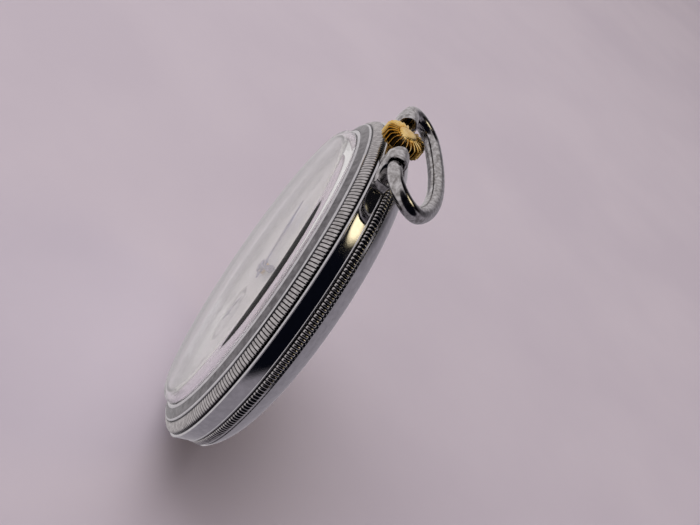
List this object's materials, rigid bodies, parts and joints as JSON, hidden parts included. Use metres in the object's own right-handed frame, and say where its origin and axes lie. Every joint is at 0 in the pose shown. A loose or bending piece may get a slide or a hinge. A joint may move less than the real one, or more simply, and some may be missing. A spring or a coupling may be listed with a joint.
{
  "type": "pocket watch",
  "caption": "Open-face pocket watch with coin-edged snap case, domed crystal, fluted winding crown, swinging bow and a keyless lever movement.",
  "frame": {"origin": "centre of the flat of the back cover", "axes": "+Z to 12 o'clock and the crown, +X to 3 o'clock, -Y the way the dial faces, +Y out of the back"},
  "size_m": [0.0502, 0.015, 0.0537],
  "materials": {
    "case_metal": "polished nickel-chrome plate, light wear",
    "crown_gilt": "gilt, fluted",
    "crystal_clear": "clear domed acrylic crystal",
    "dial_white": null,
    "hands_blue": "blued steel",
    "plates_nickel": "nickel-plated plates and bridges",
    "wheel_brass": "lacquered brass train wheels",
    "steel_polished": "polished steel arbors, levers and winding wheels",
    "screw_steel": "blued steel screws and springs",
    "ruby": "synthetic ruby"
  },
  "bodies": {
    "case": {"case_middle": "case_metal", "pendant": "case_metal", "pendant_sleeve": "case_metal", "back_cover": "case_metal", "mainplate": "plates_nickel", "barrel_bridge": "plates_nickel", "train_bridge": "plates_nickel", "pallet_bridge": "plates_nickel", "balance_cock": "plates_nickel", "hairspring_stud": "wheel_brass", "jewels": "ruby", "bridge_screws": "screw_steel", "pallet_screws": "screw_steel", "case_screws": "screw_steel", "dial_spacer": "plates_nickel", "dial": "dial_white", "click_spring": "screw_steel", "yoke_spring": "screw_steel"},
    "bezel": {"bezel": "case_metal", "crystal": "crystal_clear"},
    "bow": {"bow": "case_metal"},
    "winding": {"winding_pinion": "steel_polished"},
    "stem": {"winding_stem": "steel_polished", "crown": "crown_gilt"},
    "clutch": {"sliding_pinion": "steel_polished"},
    "crown_wheels": {"contrate_wheel": "steel_polished", "crown_wheel": "steel_polished", "crown_wheel_screw": "screw_steel"},
    "ratchet": {"barrel_arbor": "steel_polished", "ratchet_wheel": "steel_polished", "ratchet_screw": "screw_steel"},
    "click": {"click": "steel_polished"},
    "setting_lever": {"setting_lever": "steel_polished"},
    "yoke": {"yoke": "steel_polished"},
    "barrel": {"barrel_drum": "wheel_brass", "barrel_cover": "wheel_brass", "mainspring": "screw_steel"},
    "centre": {"centre_wheel": "wheel_brass", "centre_pinion": "steel_polished", "cannon_pinion": "steel_polished", "minute_hand": "hands_blue"},
    "third": {"third_wheel": "wheel_brass", "third_pinion": "steel_polished"},
    "fourth": {"fourth_wheel": "wheel_brass", "fourth_pinion": "steel_polished", "second_hand": "hands_blue"},
    "escape": {"escape_wheel": "steel_polished", "escape_pinion": "steel_polished"},
    "minute_work": {"minute_wheel": "wheel_brass"},
    "hour_work": {"hour_wheel": "wheel_brass", "hour_hand": "hands_blue"},
    "intermediate": {"intermediate_wheel": "steel_polished"},
    "setting": {"setting_wheel": "steel_polished"},
    "lever": {"pallet_fork": "steel_polished", "pallet_stones": "ruby"},
    "balance": {"balance_wheel": "wheel_brass", "balance_staff": "steel_polished", "roller": "steel_polished", "hairspring": "screw_steel"}
  },
  "joints": [
    {"name": "bezel_snap", "type": "slide", "parent": "case", "child": "bezel", "axis": [0, -1, 0], "range_m": [0, 0.012]},
    {"name": "bow_swing", "type": "hinge", "parent": "case", "child": "bow", "pos_m": [0, -0.005, 0.027], "axis": [1, 0, 0], "range_deg": [0, 234]},
    {"name": "crown_turn", "type": "hinge", "parent": "case", "child": "winding", "pos_m": [0, -0.005, 0.01751], "axis": [0, 0, 1], "continuous": true},
    {"name": "crown_pull", "type": "slide", "parent": "winding", "child": "stem", "axis": [0, 0, 1], "range_m": [0, 0.0008]},
    {"name": "clutch_slide", "type": "slide", "parent": "winding", "child": "clutch", "axis": [0, 0, -1], "range_m": [0, 0.0008]},
    {"name": "crown_wheel_turn", "type": "hinge", "parent": "case", "child": "crown_wheels", "pos_m": [0, -0.0041, 0.01531], "axis": [0, -1, 0], "continuous": true},
    {"name": "ratchet_turn", "type": "hinge", "parent": "case", "child": "ratchet", "pos_m": [0.00627, -0.0041, 0.00627], "axis": [0, -1, 0], "continuous": true},
    {"name": "click_tilt", "type": "hinge", "parent": "case", "child": "click", "pos_m": [0.01437, -0.0041, 0.00627], "axis": [0, -1, 0], "range_deg": [0, 8]},
    {"name": "setting_lever_tilt", "type": "hinge", "parent": "case", "child": "setting_lever", "pos_m": [0.0026, -0.0041, 0.01946], "axis": [0, -1, 0], "range_deg": [-17.49, 0]},
    {"name": "yoke_tilt", "type": "hinge", "parent": "case", "child": "yoke", "pos_m": [-0.0034, -0.0041, 0.01506], "axis": [0, -1, 0], "range_deg": [-13.42, 0]},
    {"name": "seconds_turn", "type": "hinge", "parent": "case", "child": "fourth", "pos_m": [0, -0.0041, -0.0096], "axis": [0, -1, 0], "continuous": true},
    {"name": "third_turn", "type": "hinge", "parent": "case", "child": "third", "pos_m": [0.00214, -0.0041, -0.00544], "axis": [0, -1, 0], "continuous": true},
    {"name": "centre_turn", "type": "hinge", "parent": "case", "child": "centre", "pos_m": [0, -0.0041, 0], "axis": [0, -1, 0], "continuous": true},
    {"name": "barrel_turn", "type": "hinge", "parent": "case", "child": "barrel", "pos_m": [0.00627, -0.0041, 0.00627], "axis": [0, -1, 0], "continuous": true},
    {"name": "escape_turn", "type": "hinge", "parent": "case", "child": "escape", "pos_m": [-0.0042, -0.0041, -0.01091], "axis": [0, -1, 0], "continuous": true},
    {"name": "minute_work_turn", "type": "hinge", "parent": "case", "child": "minute_work", "pos_m": [-0.0012, -0.0041, 0.00339], "axis": [0, -1, 0], "continuous": true},
    {"name": "hour_work_turn", "type": "hinge", "parent": "case", "child": "hour_work", "pos_m": [0, -0.0041, 0], "axis": [0, -1, 0], "continuous": true},
    {"name": "intermediate_turn", "type": "hinge", "parent": "case", "child": "intermediate", "pos_m": [0.00084, -0.0041, 0.0074], "axis": [0, -1, 0], "continuous": true},
    {"name": "setting_turn", "type": "hinge", "parent": "case", "child": "setting", "pos_m": [0, -0.0041, 0.01106], "axis": [0, -1, 0], "continuous": true},
    {"name": "lever_swing", "type": "hinge", "parent": "case", "child": "lever", "pos_m": [-0.006, -0.0041, -0.00851], "axis": [0, -1, 0], "range_deg": [-5, 5]},
    {"name": "balance_swing", "type": "hinge", "parent": "case", "child": "balance", "pos_m": [-0.00897, -0.0041, -0.00455], "axis": [0, -1, 0], "range_deg": [-150, 150]}
  ],
  "couplings": [
    {"joint": "third_turn", "follows": "seconds_turn", "ratio": -0.13333},
    {"joint": "centre_turn", "follows": "seconds_turn", "ratio": 0.016667},
    {"joint": "barrel_turn", "follows": "seconds_turn", "ratio": -0.0027778},
    {"joint": "escape_turn", "follows": "seconds_turn", "ratio": -10},
    {"joint": "minute_work_turn", "follows": "seconds_turn", "ratio": -0.0055556},
    {"joint": "hour_work_turn", "follows": "seconds_turn", "ratio": 0.0013889},
    {"joint": "intermediate_turn", "follows": "seconds_turn", "ratio": 0.0083333},
    {"joint": "setting_turn", "follows": "seconds_turn", "ratio": -0.0076923},
    {"joint": "crown_wheel_turn", "follows": "crown_turn", "ratio": 0.72727},
    {"joint": "ratchet_turn", "follows": "crown_turn", "ratio": -0.48485},
    {"joint": "clutch_slide", "follows": "crown_pull", "ratio": 1},
    {"joint": "setting_lever_tilt", "follows": "crown_pull", "rad_per_m": -381.57},
    {"joint": "yoke_tilt", "follows": "crown_pull", "rad_per_m": -292.74}
  ]
}
